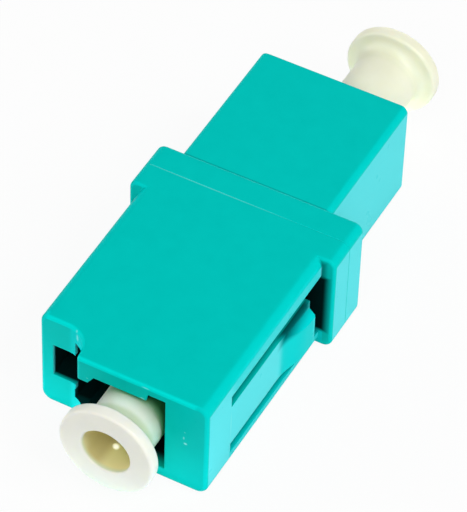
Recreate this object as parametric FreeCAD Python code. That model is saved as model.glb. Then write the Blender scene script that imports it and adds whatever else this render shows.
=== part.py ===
import FreeCAD, Part
import math
import os

V = FreeCAD.Vector

# All sizes are in millimetres. X runs from the latch side to the snap arm side, Y along the fibre
# from the front half to the rear half, and Z is up as the adapter lies on its broad side.
# The origin is the middle of the flange's underside, in the weld plane between the two halves.

# Flange, half of it moulded on each housing half
flange_w = 13.76
flange_h = 7.33
flange_t = 3.66
flange_corner_r = 0.6
flange_rim_r = 0.22
weld_chamfer = 0.03

# Front half, flush with the top of the flange
front_w = 12.12
front_shift = -0.04
front_lift = 0.08
front_len = 13.7
front_draft = 0.06
front_corner_r = 0.7
front_edge_r = 0.26

# Step in the front face on the latch side
step_depth = 1.9
step_edge_x = -2.58
step_r = 1.62

# Rear half, smaller than the front half on every side
rear_w = 10.05
rear_shift = -0.37
rear_lift = 0.06
rear_step = 0.16
rear_len = 10.34
rear_corner_r = 0.5
rear_edge = 0.16

# Fibre axis
fibre_x = 0.9
fibre_z = 3.81

# Plug port, the same in both halves apart from the depth of the latch slot
port_w = 4.64
relief_w = 1.14
relief_h = 0.53
relief_slope = 0.1
tooth_w = 1.12
tooth_slope = 0.4
tooth_gap = 3.46
lug_groove_w = 1.12
latch_slot_w = 2.5
slot_wall = 0.85
shoulder_y = 10.2
lug_pocket_wall = 0.9
web_t = 1.5

# Snap arm in the right wall of the front half
window_lo = 1.1
window_hi = 5.91
window_start = 10.9
arm_lo = 1.86
arm_hi = 5.04
arm_t = 1.0
arm_flex_gap = 0.95
arm_tip_gap = 1.4
hump_h = 0.45
hump_ramp = 3.1
hump_land = 0.9
hump_edge_r = 0.14
facet_z_start = 4.98
facet_z_end = 4.42

# Split alignment sleeve and the tubes that hold it
sleeve_bore = 1.249
sleeve_d = 1.62
sleeve_len = 6.8
sleeve_slit = 0.4
sleeve_chamfer = 0.06
sleeve_play = 0.05
sleeve_end_play = 0.1
tube_d = 2.9
tube_lip = 1.1
ferrule_entry = 1.36
ferrule_lead_in = 0.35

# Dust caps, two alike
cap_reach = 18.3
cap_d = 6.1
cap_rim = 0.85
cap_rim_edge = 0.2
cap_stem_d = 4.1
cap_flare_r = 0.7
cap_recess_d = 3.15
cap_recess_depth = 8.0
cap_recess_edge = 0.15
cap_tube_fit = 0.05
cap_bore_lead_in = 0.15
cap_septum = 1.2
cap_web_gap = 0.3

# Reach of a cutter past the face that it opens, and the slack when edges are picked by their place
overcut = 1.0
near = 1e-3

flange_y = flange_t / 2
front_y = flange_y + front_len
rear_y = flange_y + rear_len
tube_y = sleeve_len / 2 + sleeve_end_play + tube_lip
arm_out_x = front_shift + front_w / 2
arm_tip_y = -flange_y - arm_tip_gap


def rectangle(x0, x1, z0, z1, y):
    corners = [(x0, z0), (x1, z0), (x1, z1), (x0, z1), (x0, z0)]
    return Part.makePolygon([V(x, y, z) for x, z in corners])


def box(x0, x1, y0, y1, z0, z1):
    return Part.makeBox(x1 - x0, y1 - y0, z1 - z0, V(x0, y0, z0))


def edges_along(shape):
    return [e for e in shape.Edges if abs(e.Vertexes[0].Y - e.Vertexes[-1].Y) > near]


def edges_at(shape, y):
    return [e for e in shape.Edges if all(abs(v.Y - y) < near for v in e.Vertexes)]


def turned(points):
    # Solid turned about the fibre axis from an outline of (radius, y) points.
    wire = Part.makePolygon([V(fibre_x + r, y, fibre_z) for r, y in points + points[:1]])
    return Part.Face(wire).revolve(V(fibre_x, 0, fibre_z), V(0, 1, 0), 360)


def mirrored(shape):
    return shape.mirror(V(0, 0, 0), V(0, 1, 0))


def flange_half():
    # Front half of the flange, from the panel face to the weld plane.
    half = box(-flange_w / 2, flange_w / 2, -flange_y, 0, 0, flange_h)
    half = half.makeFillet(flange_corner_r, edges_along(half))
    half = half.makeFillet(flange_rim_r, edges_at(half, -flange_y))
    return half.makeChamfer(weld_chamfer, edges_at(half, 0))


def front_block():
    # Tapered front half with rounded edges and the step in its front face. It ends behind the rounded
    # rim of the flange, so that the two tops make one plane.
    z0, z1 = front_lift, flange_h
    x0 = front_shift - front_w / 2
    x1 = front_shift + front_w / 2
    end = rectangle(x0, x1, z0, z1, flange_rim_r - flange_y)
    face = rectangle(x0 + front_draft, x1 - front_draft, z0, z1, -front_y)
    block = Part.makeLoft([face, end], True, True)
    block = block.makeFillet(front_corner_r, edges_along(block))
    block = block.cut(front_step())
    return block.makeFillet(front_edge_r, front_rim(block))


def front_step():
    # Cutter for the step on the latch side, with a hollow curve rising to the front face.
    y0 = step_depth - front_y
    x1 = step_edge_x - step_r
    y1 = y0 - step_r
    turn = step_r * math.sqrt(0.5)
    curve = Part.Arc(V(x1, y0, 0), V(x1 + turn, y1 + turn, 0), V(step_edge_x, y1, 0)).toShape()
    open_y = -front_y - overcut
    line = Part.makePolygon([V(step_edge_x, y1, 0), V(step_edge_x, open_y, 0), V(-front_w, open_y, 0),
                             V(-front_w, y0, 0), V(x1, y0, 0)])
    face = Part.Face(Part.Wire([curve] + line.Edges))
    return face.extrude(V(0, 0, flange_h))


def front_rim(block):
    # Outer edges of the front face and of the step; smooth seams and the flange end stay as they are.
    last_y = step_depth - front_y + near
    side_x = front_w / 2 - abs(front_shift) - front_draft - near
    rim = []
    for edge in block.Edges:
        ends = edge.Vertexes
        upright = abs(ends[0].Z - ends[-1].Z) > flange_h / 2
        inner = upright and abs(ends[0].X) < side_x and ends[0].Y > near - front_y
        if max(v.Y for v in ends) < last_y and not inner:
            rim.append(edge)
    return rim


def rear_block():
    # Straight rear half with rounded long edges and a chamfered end.
    x0 = rear_shift - rear_w / 2
    x1 = rear_shift + rear_w / 2
    block = box(x0, x1, 0, rear_y, rear_lift, flange_h - rear_step)
    block = block.makeFillet(rear_corner_r, edges_along(block))
    return block.makeChamfer(rear_edge, edges_at(block, rear_y))


def port_section(slot_end):
    # Half outline of the plug opening above the fibre, from the latch slot to the far wall.
    half = port_w / 2
    tooth_x = -half - tooth_w
    groove_x = tooth_x - lug_groove_w
    relief_x = half - relief_w
    return [(slot_end, latch_slot_w / 2), (groove_x, latch_slot_w / 2), (groove_x, half), (tooth_x, half),
            (tooth_x, tooth_gap / 2), (-half - tooth_slope, tooth_gap / 2), (-half, half),
            (relief_x - relief_slope, half), (relief_x, half + relief_h), (half, half + relief_h)]


def channel(section, y0, y1):
    # Prism along the fibre from a half outline that is the same above and below it.
    upper = [V(fibre_x + x, y0, fibre_z + z) for x, z in section]
    lower = [V(fibre_x + x, y0, fibre_z - z) for x, z in reversed(section)]
    wire = Part.makePolygon(upper + lower + upper[:1])
    return Part.Face(wire).extrude(V(0, y1 - y0, 0))


def port(mouth_y, left_wall_x):
    # Space for the plug: keyed mouth, square well, and the pocket behind the latch shoulders.
    half = port_w / 2
    groove_x = -half - tooth_w - lug_groove_w
    slot_end = left_wall_x + slot_wall - fibre_x
    pocket_end = left_wall_x + lug_pocket_wall - fibre_x
    section = port_section(slot_end)
    relief = section[-3:]
    mouth = channel(section, -mouth_y - overcut, -shoulder_y)
    well = channel([(groove_x, half)] + relief, -shoulder_y, -web_t)
    pocket = channel([(pocket_end, half), (groove_x, half)], -shoulder_y, overcut)
    return mouth.fuse([well, pocket])


def sleeve_tube():
    # Tube that stands on the web round half of the alignment sleeve, with a lip over the sleeve's end.
    return turned([(0, 0), (tube_d / 2, 0), (tube_d / 2, -tube_y), (0, -tube_y)])


def sleeve_chamber():
    # Cutter for the sleeve's seat and the ferrule's way in.
    seat_r = sleeve_d / 2 + sleeve_play
    seat_y = sleeve_len / 2 + sleeve_end_play
    entry_r = ferrule_entry / 2
    mouth_r = entry_r + ferrule_lead_in
    open_y = -tube_y - overcut
    return turned([(0, overcut), (seat_r, overcut), (seat_r, -seat_y), (entry_r, -seat_y),
                   (entry_r, ferrule_lead_in - tube_y), (mouth_r, -tube_y), (mouth_r, open_y), (0, open_y)])


def arm_cuts():
    # Window round the snap arm and the gap behind it that the arm bends into.
    root_y = -flange_y - window_start
    arm_in_x = arm_out_x - arm_t
    gap_in_x = arm_in_x - arm_flex_gap
    behind = box(gap_in_x, arm_in_x, root_y, overcut, window_lo, window_hi)
    under = box(gap_in_x, flange_w, root_y, -flange_y, window_lo, arm_lo)
    over = box(gap_in_x, flange_w, root_y, -flange_y, arm_hi, window_hi)
    tip = box(gap_in_x, flange_w, arm_tip_y, -flange_y, window_lo, window_hi)
    return behind.fuse([under, over, tip])


def arm_hump():
    # Catch on the arm: a ramp up to a flat land, with a slanting facet along its upper side.
    land_y = arm_tip_y - hump_land
    ramp_y = land_y - hump_ramp
    start = V(arm_out_x - front_draft * (-flange_y - ramp_y) / front_len, ramp_y, arm_lo)
    top = V(arm_out_x + hump_h, land_y, arm_lo)
    base_x = arm_out_x - arm_t / 2
    rest = Part.makePolygon([top, V(top.x, arm_tip_y, arm_lo), V(base_x, arm_tip_y, arm_lo),
                             V(base_x, ramp_y, arm_lo), start])
    outline = Part.Wire(hump_ramp_curve(start, top) + rest.Edges)
    hump = Part.Face(outline).extrude(V(0, 0, arm_hi - arm_lo))
    tip_edge = [e for e in edges_at(hump, arm_tip_y) if all(abs(v.X - top.x) < near for v in e.Vertexes)]
    return hump.makeFillet(hump_edge_r, tip_edge).cut(hump_facet(ramp_y))


def hump_ramp_curve(start, top):
    # Two equal arcs, one hollow and one full, that leave the arm and meet the land without a crease.
    half = (top - start) / 2
    r = half.dot(half) / (2 * half.x)
    swing = math.asin(half.y / r) / 2
    bow = V(r * (1 - math.cos(swing)), r * math.sin(swing), 0)
    hollow = Part.Arc(start, start + bow, start + half)
    full = Part.Arc(start + half, top - bow, top)
    return [hollow.toShape(), full.toShape()]


def hump_facet(ramp_y):
    # Cutter for the facet, sloping at 45 degrees and running lower towards the tip.
    length = arm_tip_y - ramp_y
    fall = (facet_z_end - facet_z_start) / length
    reach = hump_h + overcut
    start = V(arm_out_x, ramp_y, facet_z_start)
    corners = [V(0, 0, 0), V(reach, 0, -reach), V(reach, 0, arm_hi), V(0, 0, arm_hi)]
    wire = Part.makePolygon([start + c for c in corners + corners[:1]])
    return Part.Face(wire).extrude(V(0, 1, fall) * (length + overcut))


def front_housing():
    left_x = front_shift - front_w / 2 + front_draft
    shell = front_block().fuse(flange_half())
    shell = shell.cut(port(front_y, left_x)).cut(arm_cuts())
    shell = shell.fuse([arm_hump(), sleeve_tube()]).cut(sleeve_chamber())
    return shell.removeSplitter()


def rear_housing():
    left_x = rear_shift - rear_w / 2
    shell = rear_block().fuse(mirrored(flange_half()))
    shell = shell.cut(mirrored(port(rear_y, left_x)))
    shell = shell.fuse(mirrored(sleeve_tube())).cut(mirrored(sleeve_chamber()))
    return shell.removeSplitter()


def alignment_sleeve():
    # Split ceramic tube, slit along its top.
    outer = sleeve_d / 2
    inner = sleeve_bore / 2
    end = sleeve_len / 2
    edge = sleeve_chamfer
    tube = turned([(inner, edge - end), (inner + edge, -end), (outer - edge, -end), (outer, edge - end),
                   (outer, end - edge), (outer - edge, end), (inner + edge, end), (inner, end - edge)])
    slit_x = sleeve_slit / 2
    slit_y = end + overcut
    slit = box(fibre_x - slit_x, fibre_x + slit_x, -slit_y, slit_y, fibre_z, fibre_z + sleeve_d)
    return tube.cut(slit)


def front_dust_cap():
    # Push-on cap: rimmed head with a blind recess, flaring into a hollow stem that grips the sleeve tube.
    head_r = cap_d / 2
    stem_r = cap_stem_d / 2
    face_y = -cap_reach
    back_y = face_y + cap_rim
    end_y = -web_t - cap_web_gap
    edge = cap_rim_edge
    outer = turned([(0, face_y), (head_r - edge, face_y), (head_r, face_y + edge), (head_r, back_y - edge),
                    (head_r - edge, back_y), (stem_r, back_y), (stem_r, end_y), (0, end_y)])
    waist = [e for e in edges_at(outer, back_y) if abs(e.Curve.Radius - stem_r) < near]
    outer = outer.makeFillet(cap_flare_r, waist)
    return outer.cut(cap_recess(face_y)).cut(cap_bore(face_y, end_y))


def cap_recess(face_y):
    # Cutter for the blind recess in the head, with a chamfered lip.
    recess_r = cap_recess_d / 2
    lip = cap_recess_edge
    floor_y = face_y + cap_recess_depth
    return turned([(0, face_y - lip), (recess_r + 2 * lip, face_y - lip), (recess_r, face_y + lip),
                   (recess_r, floor_y), (0, floor_y)])


def cap_bore(face_y, end_y):
    # Cutter for the stem's bore, which slides over the sleeve tube.
    bore_r = tube_d / 2 + cap_tube_fit
    lead = cap_bore_lead_in
    top_y = face_y + cap_recess_depth + cap_septum
    return turned([(0, top_y), (bore_r, top_y), (bore_r, end_y - lead), (bore_r + 2 * lead, end_y + lead),
                   (0, end_y + lead)])


def main():
    os.makedirs("parts", exist_ok=True)
    cap = front_dust_cap()
    pieces = {
        "front_housing": front_housing(),
        "rear_housing": rear_housing(),
        "alignment_sleeve": alignment_sleeve(),
        "front_dust_cap": cap,
        "rear_dust_cap": mirrored(cap),
    }
    for name, shape in pieces.items():
        shape.exportStep("parts/" + name + ".step")
        print(name, "solids", len(shape.Solids), "valid", shape.isValid(), "mm3", round(shape.Volume, 2))


main()
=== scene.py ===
import bpy
import math
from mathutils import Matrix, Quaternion, Vector


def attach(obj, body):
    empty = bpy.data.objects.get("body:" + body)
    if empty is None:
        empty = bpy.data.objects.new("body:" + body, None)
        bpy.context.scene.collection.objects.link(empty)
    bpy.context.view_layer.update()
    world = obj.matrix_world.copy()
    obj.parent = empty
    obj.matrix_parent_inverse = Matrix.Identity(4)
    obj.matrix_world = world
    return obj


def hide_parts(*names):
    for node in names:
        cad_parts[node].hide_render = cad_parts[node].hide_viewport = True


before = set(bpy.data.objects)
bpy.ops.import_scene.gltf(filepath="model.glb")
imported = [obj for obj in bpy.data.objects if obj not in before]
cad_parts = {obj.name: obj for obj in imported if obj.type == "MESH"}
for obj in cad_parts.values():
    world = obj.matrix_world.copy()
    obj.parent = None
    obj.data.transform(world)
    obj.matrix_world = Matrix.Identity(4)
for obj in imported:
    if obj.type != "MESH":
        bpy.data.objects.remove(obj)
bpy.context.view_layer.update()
mm = 0.001  # the sizes below are in millimetres, the scene is in metres
print("frame loaded:", ", ".join(sorted(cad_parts)))


# Small helpers for editing by selection

def deselectAll():
    bpy.ops.object.select_all(action="DESELECT")


def pick(piece):
    deselectAll()
    piece.select_set(True)
    bpy.context.view_layer.objects.active = piece


def editAll(piece):
    pick(piece)
    bpy.ops.object.mode_set(mode="EDIT")
    bpy.ops.mesh.select_all(action="SELECT")


def leaveEdit():
    bpy.ops.object.mode_set(mode="OBJECT")


def selectEdges(piece, wanted):
    # selects the edges whose two ends both satisfy wanted(point), and stays in edit mode
    pick(piece)
    bpy.ops.object.mode_set(mode="EDIT")
    bpy.ops.mesh.select_mode(type="EDGE")
    bpy.ops.mesh.select_all(action="DESELECT")
    leaveEdit()
    points = piece.data.vertices
    for edge in piece.data.edges:
        edge.select = all(wanted(points[i].co) for i in edge.vertices)
    bpy.ops.object.mode_set(mode="EDIT")


def applyModifier(piece, kind, **settings):
    pick(piece)
    modifier = piece.modifiers.new(kind.lower(), kind)
    for name, value in settings.items():
        setattr(modifier, name, value)
    bpy.ops.object.modifier_apply(modifier=modifier.name)


def settle(piece):
    # place, turn and size go into the mesh
    pick(piece)
    bpy.ops.object.transform_apply(location=True, rotation=True, scale=True)


# Camera at the photograph's viewing angle

photoView = {
    "azimuth": 26.85,        # degrees round from looking along +Y
    "elevation": 46.394,     # degrees above the horizon
    "roll": 2.123,           # degrees, the right side of the picture up
    "target": (-0.0837, -1.2339, 3.81),
    "distance": 218.07,
    "focalPixels": 3679.9,
    "longSidePixels": 512,
    "sensor": 36,
    "clip": (0.01, 5),       # metres
}


def makeCamera():
    turn = math.radians(photoView["azimuth"])
    rise = math.radians(photoView["elevation"])
    back = Vector((math.sin(turn) * math.cos(rise), -math.cos(turn) * math.cos(rise), math.sin(rise)))
    place = (Vector(photoView["target"]) + back * photoView["distance"]) * mm
    bpy.ops.object.camera_add(location=place)
    camera = bpy.context.object
    camera.name = "photoCamera"
    camera.rotation_mode = "QUATERNION"
    level = (-back).to_track_quat("-Z", "Y")
    camera.rotation_quaternion = level @ Quaternion((0, 0, 1), math.radians(photoView["roll"]))
    camera.data.sensor_width = photoView["sensor"]
    camera.data.lens = photoView["focalPixels"] / photoView["longSidePixels"] * photoView["sensor"]
    camera.data.clip_start, camera.data.clip_end = photoView["clip"]
    bpy.context.scene.camera = camera


makeCamera()
print("camera set")


# Node helpers

nodeGrid = (190, 170)  # distance between nodes in the editor, across and up


def addNode(tree, kind, place=(0, 0), **settings):
    node = tree.nodes.new(kind)
    node.location = (place[0] * nodeGrid[0], place[1] * nodeGrid[1])
    for name, value in settings.items():
        setattr(node, name, value)
    return node


def setInputs(node, **values):
    for name, value in values.items():
        node.inputs[name.replace("_", " ")].default_value = value
    return node


def freshTree(owner):
    owner.use_nodes = True
    owner.node_tree.nodes.clear()
    return owner.node_tree


# Studio: white paper floor, white surround and soft lights

studio = {
    "surround": 0.1,              # strength of the world as a light
    "floorSide": 1.6,             # metres
    "floorColour": (0.8, 0.8, 0.8, 1),
    "floorGlow": 0.93,            # share of the white that camera and mirror rays see without shadow
    # a level of 1 shows a face that is turned to the lamp in the colour it is written with; in metres
    "lights": {
        "keyBox": {"from": (0.08, -0.22, 0.28), "size": 0.20, "level": 0.44, "colour": (1, 1, 0.98)},
        "shoulderBox": {"from": (0.26, -0.02, 0.27), "size": 0.22, "level": 0.625, "colour": (0.97, 1, 1)},
        "leftBox": {"from": (-0.33, -0.1, 0.06), "size": 0.24, "level": 0.5, "colour": (1, 1, 1)},
        "backBox": {"from": (-0.1, 0.34, 0.07), "size": 0.24, "level": 0.4, "colour": (1, 1, 1)},
    },
    # bright strips of floor next to the object, a level of 1 being as bright as white paper; sizes in mm
    "cards": {
        "frontCard": {"middle": (6, -18.5, 0.1), "size": (16, 5), "level": 1.2, "colour": (0.66, 0.84, 1)},
        "leftCard": {"middle": (-6.5, -17.2, 0.1), "size": (9, 6.5), "level": 1.6, "colour": (0.8, 0.93, 1)},
        "rightCard": {"middle": (23, -3, 0.1), "size": (31, 40), "level": 0.2, "colour": (0.9, 1, 1)},
        "farCard": {"middle": (0.9, 14.9, 0.1), "size": (8, 4.6), "level": 1.6, "colour": (1, 1, 0.95)},
    },
}


def seenDirectly(tree):
    # 1 for camera, mirror and glass rays, 0 for the rays that only carry light
    path = addNode(tree, "ShaderNodeLightPath", (-4, 0))
    first = addNode(tree, "ShaderNodeMath", (-3, 0), operation="MAXIMUM")
    both = addNode(tree, "ShaderNodeMath", (-2, 0), operation="MAXIMUM")
    tree.links.new(path.outputs["Is Camera Ray"], first.inputs[0])
    tree.links.new(path.outputs["Is Glossy Ray"], first.inputs[1])
    tree.links.new(first.outputs[0], both.inputs[0])
    tree.links.new(path.outputs["Is Transmission Ray"], both.inputs[1])
    return both.outputs[0]


def makeWorld():
    world = bpy.data.worlds.new("whiteSurround")
    bpy.context.scene.world = world
    tree = freshTree(world)
    light = setInputs(addNode(tree, "ShaderNodeBackground", (-1, 1)), Color=(1, 1, 1, 1),
                      Strength=studio["surround"])
    white = setInputs(addNode(tree, "ShaderNodeBackground", (-1, -1)), Color=(1, 1, 1, 1), Strength=1)
    blend = addNode(tree, "ShaderNodeMixShader", (0, 0))
    out = addNode(tree, "ShaderNodeOutputWorld", (1, 0))
    tree.links.new(seenDirectly(tree), blend.inputs[0])
    tree.links.new(light.outputs[0], blend.inputs[1])
    tree.links.new(white.outputs[0], blend.inputs[2])
    tree.links.new(blend.outputs[0], out.inputs[0])


def makeFloor():
    deselectAll()
    bpy.ops.mesh.primitive_plane_add(size=studio["floorSide"])
    floor = bpy.context.object
    floor.name = "paperFloor"
    paper = bpy.data.materials.new("floorPaper")
    tree = freshTree(paper)
    matte = setInputs(addNode(tree, "ShaderNodeBsdfDiffuse", (-1, 1)), Color=studio["floorColour"])
    glow = setInputs(addNode(tree, "ShaderNodeEmission", (-1, -1)), Color=(1, 1, 1, 1), Strength=1)
    share = addNode(tree, "ShaderNodeMath", (-1, 0), operation="MULTIPLY")
    share.inputs[1].default_value = studio["floorGlow"]
    blend = addNode(tree, "ShaderNodeMixShader", (0, 0))
    out = addNode(tree, "ShaderNodeOutputMaterial", (1, 0))
    tree.links.new(seenDirectly(tree), share.inputs[0])
    tree.links.new(share.outputs[0], blend.inputs[0])
    tree.links.new(matte.outputs[0], blend.inputs[1])
    tree.links.new(glow.outputs[0], blend.inputs[2])
    tree.links.new(blend.outputs[0], out.inputs[0])
    floor.data.materials.append(paper)


def makeLights():
    for name, box in studio["lights"].items():
        place = Vector(box["from"])
        bpy.ops.object.light_add(type="AREA", location=place)
        lamp = bpy.context.object
        lamp.name = name
        lamp.rotation_mode = "QUATERNION"
        lamp.rotation_quaternion = (-place).to_track_quat("-Z", "Y")
        lamp.data.size = box["size"]
        lamp.data.energy = box["level"] * (math.pi * place.length) ** 2
        lamp.data.color = box["colour"]
    for name, card in studio["cards"].items():
        wide, deep = (side * mm for side in card["size"])
        bpy.ops.object.light_add(type="AREA", location=Vector(card["middle"]) * mm, rotation=(math.pi, 0, 0))
        lamp = bpy.context.object
        lamp.name = name
        lamp.visible_camera = False
        lamp.visible_glossy = False
        lamp.data.shape = "RECTANGLE"
        lamp.data.size, lamp.data.size_y = wide, deep
        lamp.data.energy = card["level"] * math.pi * wide * deep
        lamp.data.color = card["colour"]


bpy.context.scene.view_settings.view_transform = "Standard"
makeWorld()
makeFloor()
makeLights()
print("studio ready")


# Housing halves, smoothed copies of the two mouldings

shells = {
    "front_housing": {"piece": "frontShell", "body": "adapter"},
    "rear_housing": {"piece": "rearShell", "body": "adapter"},
    "mergeGap": 0.001,       # points closer than this become one
    "sharpAngle": 38,        # degrees, steeper edges stay sharp
    "flatWeight": 100,       # how far the normals follow the large faces
}


def makeShell(node, paint):
    row = shells[node]
    piece = bpy.data.objects.new(row["piece"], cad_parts[node].data.copy())
    bpy.context.scene.collection.objects.link(piece)
    piece.data.materials.clear()
    piece.data.materials.append(paint)
    editAll(piece)
    bpy.ops.mesh.remove_doubles(threshold=shells["mergeGap"] * mm)
    leaveEdit()
    bpy.ops.mesh.customdata_custom_splitnormals_clear()
    bpy.ops.object.shade_smooth_by_angle(angle=math.radians(shells["sharpAngle"]))
    applyModifier(piece, "WEIGHTED_NORMAL", keep_sharp=True, weight=shells["flatWeight"])
    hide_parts(node)
    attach(piece, row["body"])
    print(row["piece"], "made:", len(piece.data.polygons), "faces")


# Dust caps, one turned and a copy

capShape = {
    "axis": (0.9, 3.81),          # x and z of the fibre
    "face": -18.3,                # y of the head's face
    "headRadius": 3.05,
    "rim": 0.85,
    "rimRound": 0.2,
    "stemRadius": 2.05,
    "flare": 0.7,
    "stemEnd": -1.8,              # y of the stem's end
    "recessRadius": 1.575,
    "recessDepth": 8,
    "lipRound": 0.15,
    "boreRadius": 1.5,
    "septum": 1.2,
    "leadIn": 0.15,
    "sides": 128,
    "flareRings": 8,
    "roundSteps": 5,
    "floorInsets": (0.2, 0.6),    # rings inside the recess floor and the bore's floor
    "sameRing": 0.004,            # points this close to a ring are on it
    "mergeGap": 0.0005,
    "sharpAngle": 35,             # degrees
}


def capRings():
    # radius and y of each ring, from the recess floor over the head and the stem to the bore's floor
    c = capShape
    back = c["face"] + c["rim"]
    floorY = c["face"] + c["recessDepth"]
    rings = [(c["recessRadius"], floorY), (c["recessRadius"], c["face"]), (c["headRadius"], c["face"]),
             (c["headRadius"], back), (c["stemRadius"] + c["flare"], back)]
    for step in range(1, c["flareRings"] + 1):
        turn = math.pi / 2 * step / c["flareRings"]
        radius = c["stemRadius"] + c["flare"] * (1 - math.sin(turn))
        rings.append((radius, back + c["flare"] * (1 - math.cos(turn))))
    rings += [(c["stemRadius"], c["stemEnd"]), (c["boreRadius"], c["stemEnd"]),
              (c["boreRadius"], floorY + c["septum"])]
    return rings


def makeFrontCap(paint):
    c = capShape
    rings = capRings()
    axisX, axisZ = c["axis"]
    deselectAll()
    bpy.ops.mesh.primitive_circle_add(vertices=c["sides"], radius=rings[0][0] * mm, fill_type="NGON",
                                      location=Vector((axisX, rings[0][1], axisZ)) * mm,
                                      rotation=(math.pi / 2, 0, 0))
    piece = bpy.context.object
    piece.name = "frontCapMoulding"
    settle(piece)
    editAll(piece)
    bpy.ops.mesh.delete(type="ONLY_FACE")
    bpy.ops.mesh.select_all(action="SELECT")
    radius, y = rings[0]
    for nextRadius, nextY in rings[1:]:
        bpy.ops.mesh.extrude_edges_move(TRANSFORM_OT_translate={"value": (0, (nextY - y) * mm, 0)})
        grow = nextRadius / radius
        bpy.ops.transform.resize(value=(grow, 1, grow), center_override=Vector((axisX, nextY, axisZ)) * mm)
        radius, y = nextRadius, nextY
    leaveEdit()
    closeEnds(piece, rings[0], rings[-1])
    for ringRadius, ringY, width in (
        (c["headRadius"], c["face"], c["rimRound"]),
        (c["headRadius"], c["face"] + c["rim"], c["rimRound"]),
        (c["recessRadius"], c["face"], c["lipRound"]),
        (c["stemRadius"], c["stemEnd"], c["leadIn"]),
        (c["boreRadius"], c["stemEnd"], c["leadIn"]),
    ):
        roundRing(piece, ringRadius, ringY, width)
    editAll(piece)
    bpy.ops.mesh.remove_doubles(threshold=c["mergeGap"] * mm)
    bpy.ops.mesh.normals_make_consistent(inside=False)
    leaveEdit()
    return finishCap(piece, paint, "front_dust_cap", "front_cap")


def onRing(ringRadius, ringY):
    axisX, axisZ = capShape["axis"]
    near = capShape["sameRing"]

    def test(point):
        radius = math.hypot(point.x / mm - axisX, point.z / mm - axisZ)
        return abs(radius - ringRadius) < near and abs(point.y / mm - ringY) < near
    return test


def closeEnds(piece, *ends):
    for ringRadius, ringY in ends:
        selectEdges(piece, onRing(ringRadius, ringY))
        bpy.ops.mesh.edge_face_add()
        for inset in capShape["floorInsets"]:
            bpy.ops.mesh.inset(thickness=inset * mm)
        leaveEdit()


def roundRing(piece, ringRadius, ringY, width):
    selectEdges(piece, onRing(ringRadius, ringY))
    bpy.ops.mesh.bevel(offset=width * mm, segments=capShape["roundSteps"], profile=0.5, affect="EDGES")
    leaveEdit()


def finishCap(piece, paint, node, body):
    pick(piece)
    bpy.ops.object.shade_smooth_by_angle(angle=math.radians(capShape["sharpAngle"]))
    piece.data.materials.clear()
    piece.data.materials.append(paint)
    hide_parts(node)
    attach(piece, body)
    print(piece.name, "made:", len(piece.data.polygons), "faces")
    return piece


def makeRearCap(first, paint):
    # the same cap, turned round to face the other way
    piece = bpy.data.objects.new("rearCapMoulding", first.data.copy())
    bpy.context.scene.collection.objects.link(piece)
    piece.rotation_euler = (0, 0, math.pi)
    piece.location = (2 * capShape["axis"][0] * mm, 0, 0)
    settle(piece)
    finishCap(piece, paint, "rear_dust_cap", "rear_cap")


# Node groups that the finishes share

noiseLook = {
    "detail": {"Cloud": 3, "Grain": 2},
    "roughness": 0.55,
    "range": (0.3, 0.7),          # where most of the noise values lie
}
spotCore = 0.2                    # share of a mark's size that is evenly strong
shadeSamples = 12


def newGroup(name, inputs, outputs):
    group = bpy.data.node_groups.new(name, "ShaderNodeTree")
    for label, kind in inputs:
        group.interface.new_socket(name=label, in_out="INPUT", socket_type="NodeSocket" + kind)
    for label, kind in outputs:
        group.interface.new_socket(name=label, in_out="OUTPUT", socket_type="NodeSocket" + kind)
    return group, addNode(group, "NodeGroupInput", (-5, 0)), addNode(group, "NodeGroupOutput", (3, 0))


def makeFineGrain():
    # cloudy unevenness of the colour, and the fine grain of a moulded surface
    group, given, out = newGroup("fineGrain", [("Coordinates", "Vector"), ("Cloud Size", "Float"),
                                               ("Grain Size", "Float")],
                                 [("Cloud", "Float"), ("Grain", "Float")])
    for row, (label, detail) in zip((1, -1), noiseLook["detail"].items()):
        times = addNode(group, "ShaderNodeMath", (-3, row), operation="DIVIDE")
        times.inputs[0].default_value = 1
        noise = setInputs(addNode(group, "ShaderNodeTexNoise", (-1, row)), Detail=detail,
                          Roughness=noiseLook["roughness"])
        group.links.new(given.outputs[label + " Size"], times.inputs[1])
        group.links.new(times.outputs[0], noise.inputs["Scale"])
        group.links.new(given.outputs["Coordinates"], noise.inputs["Vector"])
        group.links.new(noise.outputs["Fac"], out.inputs[label])
    return group


def makeSoftSpot():
    # a mark at a place on the piece, fading out at its size; a stretch under 1 makes it longer that way
    group, given, out = newGroup("softSpot", [("Coordinates", "Vector"), ("Place", "Vector"),
                                              ("Stretch", "Vector"), ("Size", "Float"),
                                              ("Strength", "Float")], [("Mask", "Float")])
    away = addNode(group, "ShaderNodeVectorMath", (-3, 0), operation="SUBTRACT")
    shaped = addNode(group, "ShaderNodeVectorMath", (-2, 0), operation="MULTIPLY")
    length = addNode(group, "ShaderNodeVectorMath", (-1, 0), operation="LENGTH")
    share = addNode(group, "ShaderNodeMath", (0, 0), operation="DIVIDE")
    fade = setInputs(addNode(group, "ShaderNodeMapRange", (1, 0), interpolation_type="SMOOTHSTEP"),
                     From_Min=spotCore, From_Max=1, To_Max=0)
    group.links.new(given.outputs["Coordinates"], away.inputs[0])
    group.links.new(given.outputs["Place"], away.inputs[1])
    group.links.new(away.outputs[0], shaped.inputs[0])
    group.links.new(given.outputs["Stretch"], shaped.inputs[1])
    group.links.new(shaped.outputs[0], length.inputs[0])
    group.links.new(length.outputs["Value"], share.inputs[0])
    group.links.new(given.outputs["Size"], share.inputs[1])
    group.links.new(share.outputs[0], fade.inputs[0])
    group.links.new(given.outputs["Strength"], fade.inputs["To Min"])
    group.links.new(fade.outputs[0], out.inputs["Mask"])
    return group


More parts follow.
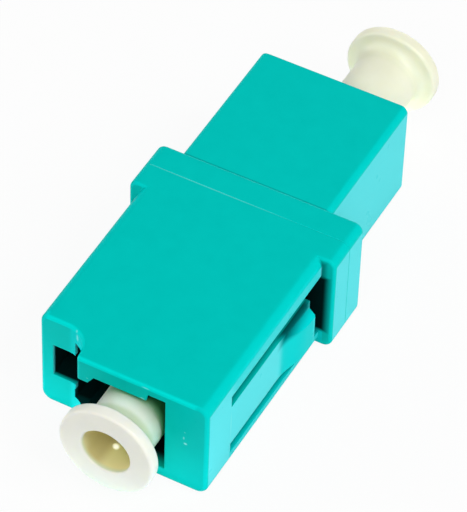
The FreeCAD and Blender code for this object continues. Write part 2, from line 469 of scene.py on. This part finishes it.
def makeInsideShade():
    # 1 in a box-shaped space of the piece, fading to 0 at the sides of the box
    group, given, out = newGroup("insideShade", [("Coordinates", "Vector"), ("Low", "Vector"),
                                                 ("High", "Vector"), ("Fade", "Vector"),
                                                 ("Strength", "Float")], [("Mask", "Float")])
    shares = []
    for row, first, second in ((1, "Coordinates", "Low"), (-1, "High", "Coordinates")):
        depth = addNode(group, "ShaderNodeVectorMath", (-4, row), operation="SUBTRACT")
        share = addNode(group, "ShaderNodeVectorMath", (-3, row), operation="DIVIDE")
        group.links.new(given.outputs[first], depth.inputs[0])
        group.links.new(given.outputs[second], depth.inputs[1])
        group.links.new(depth.outputs[0], share.inputs[0])
        group.links.new(given.outputs["Fade"], share.inputs[1])
        shares.append(share)
    least = addNode(group, "ShaderNodeVectorMath", (-2, 0), operation="MINIMUM")
    parts = addNode(group, "ShaderNodeSeparateXYZ", (-1, 0))
    flat = addNode(group, "ShaderNodeMath", (0, 0), operation="MINIMUM")
    smallest = addNode(group, "ShaderNodeMath", (1, 0), operation="MINIMUM")
    fade = addNode(group, "ShaderNodeMapRange", (2, 0), interpolation_type="SMOOTHSTEP")
    group.links.new(shares[0].outputs[0], least.inputs[0])
    group.links.new(shares[1].outputs[0], least.inputs[1])
    group.links.new(least.outputs[0], parts.inputs[0])
    group.links.new(parts.outputs["X"], flat.inputs[0])
    group.links.new(parts.outputs["Y"], flat.inputs[1])
    group.links.new(flat.outputs[0], smallest.inputs[0])
    group.links.new(parts.outputs["Z"], smallest.inputs[1])
    group.links.new(smallest.outputs[0], fade.inputs[0])
    group.links.new(given.outputs["Strength"], fade.inputs["To Max"])
    group.links.new(fade.outputs[0], out.inputs["Mask"])
    return group


def makeCavityShade(name, ownFacesOnly):
    # 0 deep in slots and holes, 1 where the surface lies open
    group, given, out = newGroup(name, [("Reach", "Float"), ("Darkest", "Float"), ("Open", "Float")],
                                 [("Shade", "Float")])
    hidden = addNode(group, "ShaderNodeAmbientOcclusion", (-2, 0), samples=shadeSamples,
                     only_local=ownFacesOnly)
    fade = addNode(group, "ShaderNodeMapRange", (0, 0), interpolation_type="SMOOTHSTEP")
    group.links.new(given.outputs["Reach"], hidden.inputs["Distance"])
    group.links.new(hidden.outputs["AO"], fade.inputs[0])
    group.links.new(given.outputs["Darkest"], fade.inputs["From Min"])
    group.links.new(given.outputs["Open"], fade.inputs["From Max"])
    group.links.new(fade.outputs[0], out.inputs["Shade"])
    return group


fineGrain = makeFineGrain()
softSpot = makeSoftSpot()
insideShade = makeInsideShade()
slotShade = makeCavityShade("slotShade", True)
neighbourShade = makeCavityShade("neighbourShade", False)


def useGroup(tree, group, place, coords, **values):
    node = addNode(tree, "ShaderNodeGroup", place, node_tree=group)
    tree.links.new(coords, node.inputs["Coordinates"])
    return setInputs(node, **values)


def boxMask(tree, coords, row, place):
    # row: low corner, high corner and fade in mm, strength
    corner, far, fade, strength = row
    space = useGroup(tree, insideShade, place, coords, Low=Vector(corner) * mm, High=Vector(far) * mm,
                     Fade=Vector(fade) * mm, Strength=strength)
    return space.outputs["Mask"]


def spotMask(tree, coords, row, place):
    # row: place, stretch and size in mm, strength
    spot, stretch, size, strength = row
    mark = useGroup(tree, softSpot, place, coords, Place=Vector(spot) * mm, Stretch=stretch,
                    Size=size * mm, Strength=strength)
    return mark.outputs["Mask"]


def openShare(tree, group, reach, limits, place):
    # reach in mm, limits: the darkest value and the open one
    low, high = limits
    shade = setInputs(addNode(tree, "ShaderNodeGroup", place, node_tree=group), Reach=reach * mm,
                      Darkest=low, Open=high)
    return shade.outputs["Shade"]


def blendColours(tree, mask, first, second, place):
    # first and second are colours or sockets; 6 and 7 are the node's colour inputs, 2 its colour output
    mix = addNode(tree, "ShaderNodeMix", place, data_type="RGBA")
    tree.links.new(mask, mix.inputs[0])
    for socket, colour in ((mix.inputs[6], first), (mix.inputs[7], second)):
        if isinstance(colour, tuple):
            socket.default_value = colour
        else:
            tree.links.new(colour, socket)
    return mix.outputs[2]


def spread(tree, value, low, high, place):
    # a noise value spread over low to high
    least, most = noiseLook["range"]
    node = setInputs(addNode(tree, "ShaderNodeMapRange", place), From_Min=least, From_Max=most,
                     To_Min=low, To_Max=high)
    tree.links.new(value, node.inputs[0])
    return node.outputs[0]


def dullBy(tree, mask, rough, place):
    # roughness that goes up to 1 where the mask is 1; 2 and 3 are the node's value inputs
    mix = addNode(tree, "ShaderNodeMix", place, data_type="FLOAT")
    tree.links.new(mask, mix.inputs[0])
    tree.links.new(rough, mix.inputs[2])
    mix.inputs[3].default_value = 1
    return mix.outputs[0]


def finishPaint(tree, shader, colour, rough):
    tree.links.new(colour, shader.inputs["Base Color"])
    tree.links.new(rough, shader.inputs["Roughness"])
    out = addNode(tree, "ShaderNodeOutputMaterial", (3, 0))
    tree.links.new(shader.outputs[0], out.inputs[0])


# Aqua housing plastic

aqua = {
    "deep": (0, 0.53, 0.482, 1),
    "pale": (0, 0.55, 0.50, 1),
    # painted sheen: faces seen at a flat view take this paler colour in place of a reflection
    "paintedSheen": (0.10, 0.76, 0.81, 1),   # at a flat view
    "paintedSheenFrom": (0.60, 0.67),
    # painted light: brighter aqua for lit patches, and a painted highlight for the top edges
    "paintedLitAqua": (0, 0.65, 0.65, 1),
    "paintedEdgeLight": (0, 0.72, 0.67, 1),
    # painted highlight on rounded edges, with its limits below
    "paintedRoundEdge": (0, 0.605, 0.565, 1),
    "roundTopFrom": (0.002, 0.12),    # how far a normal leans away from the top
    "roundSideFrom": (0.001, 0.02),   # and from the sides
    # painted shade colour, and how far and how strongly it comes from ambient occlusion
    "paintedShadeColour": (0, 0.012, 0.012, 1),
    "cavityReach": 5,            # mm
    "cavityFade": (0.04, 0.34),  # open share of the surroundings, from dark to plain
    "rubbed": (0.30, 0.86, 0.84, 1),
    "cloudSize": 1.1,            # mm, as the next two
    "grainSize": 0.09,
    "grainDepth": 0.004,
    "grainStrength": 0.35,
    "roughness": (0.27, 0.34),
    "gloss": 0.012,
    "bending": 1.46,             # index of refraction
    "viewBlend": 0.5,            # evenness of the sheen's growth
    "edgeRound": 0.07,           # mm, radius that the light sees on the sharp edges
    "edgeSamples": 6,
}

# painted light on the front half: brighter aqua laid over the painted sheen where these faces were lit, and
# a painted highlight along the top edges; low corner, high corner and fade in mm, strength, colour
frontLitPatches = {
    "catch": ((5.85, -7.1, 1.7), (7, -3, 5.2), (0.05, 0.7, 0.05), 1, "paintedLitAqua"),
    "hollow": ((-4.3, -15.45, 0.2), (-2.4, -13.5, 7.15), (0.8, 0.3, 0.2), 0.6, "paintedLitAqua"),
    "topEdges": ((-5.9, -15.6, 7.02), (5.3, -13.2, 7.33), (0.3, 0.05, 0.08), 1, "paintedEdgeLight"),
    "aboveSlot": ((5.4, -13, 5.8), (6.3, -1.6, 7), (0.05, 1, 0.1), 0.6, "paintedLitAqua"),
    "underSlot": ((5.4, -12.9, -0.2), (6.3, -1.6, 1.2), (0.05, 0.2, 0.05), 0.8, "paintedLitAqua"),
}

# rubbed marks on the front half: place, stretch and size in mm, strength
frontMarks = {
    "speckLow": ((4.55, -15.53, 3.88), (0.9, 1, 1.2), 0.14, 0.9),
    "speckMiddle": ((4.44, -15.53, 4.31), (1.5, 1, 0.6), 0.10, 0.6),
    "speckHigh": ((4.50, -15.53, 4.82), (1, 1, 1.2), 0.07, 0.4),
    "edgeNick": ((1.93, -15.5, 7.14), (0.2, 1, 1.3), 0.07, 0.5),
    "portRub": ((1.72, -15.53, 6.2), (0.35, 1, 1), 0.07, 0.5),
    "toothFlash": ((-1.84, -15.53, 5.9), (0.5, 1, 1), 0.05, 0.3),
    # two pale streaks by the hollow's top edge, in the rubbed colour
    "hollowStreakLow": ((-3.46, -13.81, 6.76), (1, 1, 0.4), 0.14, 0.6),
    "hollowStreakHigh": ((-3.54, -13.72, 7.18), (1, 1, 0.8), 0.1, 0.5),
    "armRootLine": ((6.0, -12.72, 3.5), (1, 1, 0.055), 0.09, 0.4),
    "seamFlash": ((-2.6, -0.04, 7.33), (0.012, 1, 1), 0.08, 0.28),
}

# painted shade: dark inside the port and slots, in the creases and gaps, and over the catch's upper facet;
# low corner, high corner and fade in mm, strength
frontPaintedShade = {
    "port": ((-2.62, -15.5, 1.46), (3.9, -1.5, 7.0), (0.08, 0.16, 0.3), 1),
    "portFloor": ((-2.0, -15.45, 0.6), (3.9, -1.5, 2.2), (0.08, 1, 0.05), 1),
    "latchSlot": ((-5.6, -13.6, 0.6), (-1.7, -1.5, 7.0), (0.3, 0.25, 0.3), 1),
    "grooveFloor": ((-3.75, -15.4, 1.42), (-1.7, -12, 2.2), (0.05, 0.1, 0.05), 0.95),
    "armSlots": ((3.9, -12.9, 0.9), (6.0, -3.2, 6.1), (0.5, 0.05, 0.05), 0.45),
    "flangeCrease": ((5.5, -2.0, 5.4), (6.5, -1.6, 7.25), (0.4, 0.12, 0.5), 0.6),
    "armTipGap": ((4.0, -3.15, 1.1), (6.8, -1, 5.95), (0.65, 0.3, 0.35), 1),
    "catchEdge": ((5.7, -7.3, 4.1), (6.8, -2.6, 6), (0.1, 1.2, 0.85), 0.85),
}
# painted shade on the rear half: inside the port and along the flange's foot
rearPaintedShade = {
    "port": ((-4.9, 1.5, 0.6), (3.6, 12.14, 6.95), (0.3, 0.3, 0.25), 1),
    "flangeFoot": ((-6.4, 1.72, 7.0), (5.7, 1.99, 7.5), (0.6, 0.1, 0.1), 0.3),
}


def leanMask(tree, normal, place):
    # 1 on rounded edges, where the normal leans away from the top and from the sides
    across, up = place
    size = addNode(tree, "ShaderNodeVectorMath", place, operation="ABSOLUTE")
    parts = addNode(tree, "ShaderNodeSeparateXYZ", (across + 1, up))
    side = addNode(tree, "ShaderNodeMath", (across + 2, up), operation="MAXIMUM")
    least = addNode(tree, "ShaderNodeMath", (across + 4, up), operation="MINIMUM")
    tree.links.new(normal, size.inputs[0])
    tree.links.new(size.outputs[0], parts.inputs[0])
    tree.links.new(parts.outputs["X"], side.inputs[0])
    tree.links.new(parts.outputs["Y"], side.inputs[1])
    leans = ((side.outputs[0], "roundSideFrom"), (parts.outputs["Z"], "roundTopFrom"))
    for row, (turned, limits) in enumerate(leans):
        low, high = aqua[limits]
        fade = addNode(tree, "ShaderNodeMapRange", (across + 3, up + row), interpolation_type="SMOOTHSTEP")
        setInputs(fade, From_Min=1 - low, From_Max=1 - high)
        tree.links.new(turned, fade.inputs[0])
        tree.links.new(fade.outputs[0], least.inputs[row])
    return least.outputs[0]


def housingPlastic(name, marks, litPatches, shadeSpaces):
    paint = bpy.data.materials.new(name)
    tree = freshTree(paint)
    texture = addNode(tree, "ShaderNodeTexCoord", (-9, 0))
    coords = texture.outputs["Object"]
    grain = useGroup(tree, fineGrain, (-7, 0), coords, Cloud_Size=aqua["cloudSize"] * mm,
                     Grain_Size=aqua["grainSize"] * mm)
    cloud = spread(tree, grain.outputs["Cloud"], 0, 1, (-5, 2))
    colour = blendColours(tree, cloud, aqua["deep"], aqua["pale"], (-4, 2))
    # painted sheen: paler where a face is seen at a flat view, in place of a reflection
    low, high = aqua["paintedSheenFrom"]
    view = setInputs(addNode(tree, "ShaderNodeLayerWeight", (-5, 5)), Blend=aqua["viewBlend"])
    flatView = setInputs(addNode(tree, "ShaderNodeMapRange", (-4, 5), interpolation_type="SMOOTHSTEP"),
                         From_Min=low, From_Max=high)
    tree.links.new(view.outputs["Facing"], flatView.inputs[0])
    colour = blendColours(tree, flatView.outputs[0], colour, aqua["paintedSheen"], (-3, 3))
    # painted highlight: rounded edges take a lighter aqua
    leaning = leanMask(tree, texture.outputs["Normal"], (-8, 10))
    colour = blendColours(tree, leaning, colour, aqua["paintedRoundEdge"], (-2.8, 3))
    # painted light in the listed patches
    for row, litPatch in enumerate(litPatches.values()):
        *box, tone = litPatch
        mask = boxMask(tree, coords, box, (-7, 8 + row))
        colour = blendColours(tree, mask, colour, aqua[tone], (-2.5, 3 + row))
    for row, mark in enumerate(marks.values()):
        mask = spotMask(tree, coords, mark, (-7, -2 - row))
        colour = blendColours(tree, mask, colour, aqua["rubbed"], (-2 + row * 0.3, 2 - row))
    rough = spread(tree, grain.outputs["Cloud"], *aqua["roughness"], (-5, 0))
    # painted shade in the listed spaces, where the surface is also made rough
    for row, space in enumerate(shadeSpaces.values()):
        mask = boxMask(tree, coords, space, (-7, 3 + row))
        colour = blendColours(tree, mask, colour, aqua["paintedShadeColour"], (-1 + row * 0.3, 3 + row))
        rough = dullBy(tree, mask, rough, (-4 + row * 0.5, 0))
    # painted shade from ambient occlusion, dark deep in slots and holes
    shade = openShare(tree, slotShade, aqua["cavityReach"], aqua["cavityFade"], (-3, 4))
    colour = blendColours(tree, shade, aqua["paintedShadeColour"], colour, (0, 4))
    edges = setInputs(addNode(tree, "ShaderNodeBevel", (-3, -2), samples=aqua["edgeSamples"]),
                      Radius=aqua["edgeRound"] * mm)
    bump = setInputs(addNode(tree, "ShaderNodeBump", (-1, -2)), Strength=aqua["grainStrength"],
                     Distance=aqua["grainDepth"] * mm)
    tree.links.new(grain.outputs["Grain"], bump.inputs["Height"])
    tree.links.new(edges.outputs[0], bump.inputs["Normal"])
    shader = setInputs(addNode(tree, "ShaderNodeBsdfPrincipled", (1, 0)), IOR=aqua["bending"],
                       Specular_IOR_Level=aqua["gloss"])
    tree.links.new(bump.outputs[0], shader.inputs["Normal"])
    finishPaint(tree, shader, colour, rough)
    return paint


# Natural white plastic of the caps, with painted shade: yellow-olive down in the recess, greenish behind the
# heads and by the housing

milky = {
    # the rear cap is yellower than the front one and takes less of the painted shade
    "front": {"deep": (0.82, 0.81, 0.74, 1), "pale": (0.85, 0.84, 0.77, 1), "cavityFade": (0.02, 0.74)},
    "rear": {"deep": (0.84, 0.83, 0.65, 1), "pale": (0.87, 0.86, 0.70, 1), "cavityFade": (0.02, 0.3)},
    # painted shade: the recess's yellow-olive colour, and a darker one for its left side
    "inside": (0.88, 0.82, 0.45, 1),
    "recessShade": (0.45, 0.36, 0.12, 1),
    "shadeGreen": (0.46, 0.57, 0.32, 1),
    "glint": (1, 1, 0.92, 1),
    "glintStrength": 0.7,
    # painted greenish shade near the housing, from ambient occlusion
    "paintedShadeColour": (0.05, 0.5, 0.16, 1),
    "paintedStemShade": (0, 0.09, 0.01, 1),
    "cavityReach": 4,            # mm
    "stemFade": (0.5, 0.8),      # open share round the stem, from full shade to none
    "recessEdge": 0.1,           # mm, round the recess
    "recessFade": (0.05, 0.5),   # mm under the head's face
    "cloudSize": 1.8,            # mm, as the next two
    "grainSize": 0.12,
    "grainDepth": 0.003,
    "grainStrength": 0.3,
    "roughness": (0.29, 0.34),
    "gloss": 0.4,
    "bending": 1.5,              # index of refraction
    "softness": 0.5,             # share of the light that goes through the skin
    "softDepth": 0.7,            # mm
    "softColours": (1, 0.9, 0.6),  # share of that depth for red, green and blue
}

# painted greenish shade behind the heads: low corner, high corner and fade in mm, strength
flares = {
    "front": ((-3, -17.5, 0), (5, -16.2, 8), (0.1, 0.4, 0.1), 0.55),
    "rear": ((-3, 16.2, 0), (5, 17.5, 8), (0.1, 0.4, 0.1), 0.1),
}
# painted deeper shade where the stem goes into the port, and on the left side of the recess: as above
stemShade = ((1.2, -15.3, 3.5), (3.4, -9, 7), (0.8, 0.6, 0.3), 0.76)
recessLeft = ((-1, -18.2, 1.5), (0.75, -9, 6), (0.7, 0.2, 0.1), 0.5)
# painted glint, a glowing spot for light caught in the front cap's recess: place, stretch and size in mm,
# strength
paintedRecessGlint = ((0.57, -16.44, 2.27), (1, 1, 1), 0.28, 1)


def recessMask(tree, coords):
    # 1 inside the recess, from a little under the lip
    axisX, axisZ = capShape["axis"]
    parts = addNode(tree, "ShaderNodeSeparateXYZ", (-7, -2))
    off = addNode(tree, "ShaderNodeVectorMath", (-8, -3), operation="SUBTRACT")
    off.inputs[1].default_value = (axisX * mm, 0, axisZ * mm)
    flat = addNode(tree, "ShaderNodeVectorMath", (-7, -3), operation="MULTIPLY")
    flat.inputs[1].default_value = (1, 0, 1)
    radius = addNode(tree, "ShaderNodeVectorMath", (-6, -3), operation="LENGTH")
    deep = addNode(tree, "ShaderNodeMath", (-6, -2), operation="ABSOLUTE")
    wall = capShape["recessRadius"]
    within = setInputs(addNode(tree, "ShaderNodeMapRange", (-5, -3)), To_Min=1, To_Max=0,
                       From_Min=wall * mm, From_Max=(wall + milky["recessEdge"]) * mm)
    face = -capShape["face"]
    shallow, full = milky["recessFade"]
    under = setInputs(addNode(tree, "ShaderNodeMapRange", (-5, -2), interpolation_type="SMOOTHSTEP"),
                      To_Min=1, To_Max=0, From_Min=(face - full) * mm, From_Max=(face - shallow) * mm)
    both = addNode(tree, "ShaderNodeMath", (-4, -2), operation="MULTIPLY")
    tree.links.new(coords, parts.inputs[0])
    tree.links.new(coords, off.inputs[0])
    tree.links.new(off.outputs[0], flat.inputs[0])
    tree.links.new(flat.outputs[0], radius.inputs[0])
    tree.links.new(parts.outputs["Y"], deep.inputs[0])
    tree.links.new(radius.outputs["Value"], within.inputs[0])
    tree.links.new(deep.outputs[0], under.inputs[0])
    tree.links.new(within.outputs[0], both.inputs[0])
    tree.links.new(under.outputs[0], both.inputs[1])
    return both.outputs[0]


def capPlastic(name, side):
    tone = milky[side]
    paint = bpy.data.materials.new(name)
    tree = freshTree(paint)
    coords = addNode(tree, "ShaderNodeTexCoord", (-9, 0)).outputs["Object"]
    grain = useGroup(tree, fineGrain, (-7, 0), coords, Cloud_Size=milky["cloudSize"] * mm,
                     Grain_Size=milky["grainSize"] * mm)
    cloud = spread(tree, grain.outputs["Cloud"], 0, 1, (-5, 2))
    colour = blendColours(tree, cloud, tone["deep"], tone["pale"], (-3, 2))
    # painted greenish shade from ambient occlusion, where the housing is near
    shade = openShare(tree, neighbourShade, milky["cavityReach"], tone["cavityFade"], (-3, 4))
    colour = blendColours(tree, shade, milky["paintedShadeColour"], colour, (-2, 4))
    flare = boxMask(tree, coords, flares[side], (-7, 3))
    colour = blendColours(tree, flare, colour, milky["shadeGreen"], (-2, 3))
    # painted shade: yellow-olive inside the recess
    recess = recessMask(tree, coords)
    colour = blendColours(tree, recess, colour, milky["inside"], (-1, 2))
    shader = setInputs(addNode(tree, "ShaderNodeBsdfPrincipled", (1, 0)), IOR=milky["bending"],
                       Specular_IOR_Level=milky["gloss"], Subsurface_Weight=milky["softness"],
                       Subsurface_Scale=milky["softDepth"] * mm, Subsurface_Radius=milky["softColours"])
    if side == "front":
        # the painted shade on the stem shows only while the housing is round it, not on a cap that is pulled
        # out
        stem = boxMask(tree, coords, stemShade, (-7, 6))
        shaded = blendColours(tree, stem, colour, milky["paintedStemShade"], (-0.7, 4))
        free = openShare(tree, neighbourShade, milky["cavityReach"], milky["stemFade"], (-3, 6))
        colour = blendColours(tree, free, shaded, colour, (-0.7, 3))
        left = boxMask(tree, coords, recessLeft, (-7, 5))
        deep = addNode(tree, "ShaderNodeMath", (-4, 5), operation="MULTIPLY")
        tree.links.new(left, deep.inputs[0])
        tree.links.new(recess, deep.inputs[1])
        colour = blendColours(tree, deep.outputs[0], colour, milky["recessShade"], (-0.5, 3))
        # painted glint: the spot glows
        glint = spotMask(tree, coords, paintedRecessGlint, (-7, -5))
        glow = blendColours(tree, glint, (0, 0, 0, 1), milky["glint"], (0, -4))
        tree.links.new(glow, shader.inputs["Emission Color"])
        setInputs(shader, Emission_Strength=milky["glintStrength"])
    bump = setInputs(addNode(tree, "ShaderNodeBump", (-1, -2)), Strength=milky["grainStrength"],
                     Distance=milky["grainDepth"] * mm)
    tree.links.new(grain.outputs["Grain"], bump.inputs["Height"])
    tree.links.new(bump.outputs[0], shader.inputs["Normal"])
    rough = spread(tree, grain.outputs["Cloud"], *milky["roughness"], (-5, 0))
    finishPaint(tree, shader, colour, rough)
    return paint


# Ground ceramic of the alignment sleeve

ceramic = {
    "deep": (0.82, 0.82, 0.79, 1),
    "pale": (0.90, 0.90, 0.88, 1),
    "cloudSize": 0.8,            # mm, as the next
    "grainSize": 0.05,
    "roughness": (0.18, 0.30),
}


def sleeveCeramic(name):
    paint = bpy.data.materials.new(name)
    tree = freshTree(paint)
    coords = addNode(tree, "ShaderNodeTexCoord", (-9, 0)).outputs["Object"]
    grain = useGroup(tree, fineGrain, (-7, 0), coords, Cloud_Size=ceramic["cloudSize"] * mm,
                     Grain_Size=ceramic["grainSize"] * mm)
    cloud = spread(tree, grain.outputs["Cloud"], 0, 1, (-5, 2))
    colour = blendColours(tree, cloud, ceramic["deep"], ceramic["pale"], (-3, 2))
    shader = addNode(tree, "ShaderNodeBsdfPrincipled", (1, 0))
    rough = spread(tree, grain.outputs["Grain"], *ceramic["roughness"], (-5, 0))
    finishPaint(tree, shader, colour, rough)
    return paint


frontAqua = housingPlastic("frontAqua", frontMarks, frontLitPatches, frontPaintedShade)
rearAqua = housingPlastic("rearAqua", {}, {}, rearPaintedShade)
capWhite = capPlastic("capWhite", "front")
farCapWhite = capPlastic("farCapWhite", "rear")
groundCeramic = sleeveCeramic("groundCeramic")
print("materials ready")

makeShell("front_housing", frontAqua)
makeShell("rear_housing", rearAqua)
frontCap = makeFrontCap(capWhite)
makeRearCap(frontCap, farCapWhite)
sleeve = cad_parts["alignment_sleeve"]
sleeve.data.materials.clear()
sleeve.data.materials.append(groundCeramic)
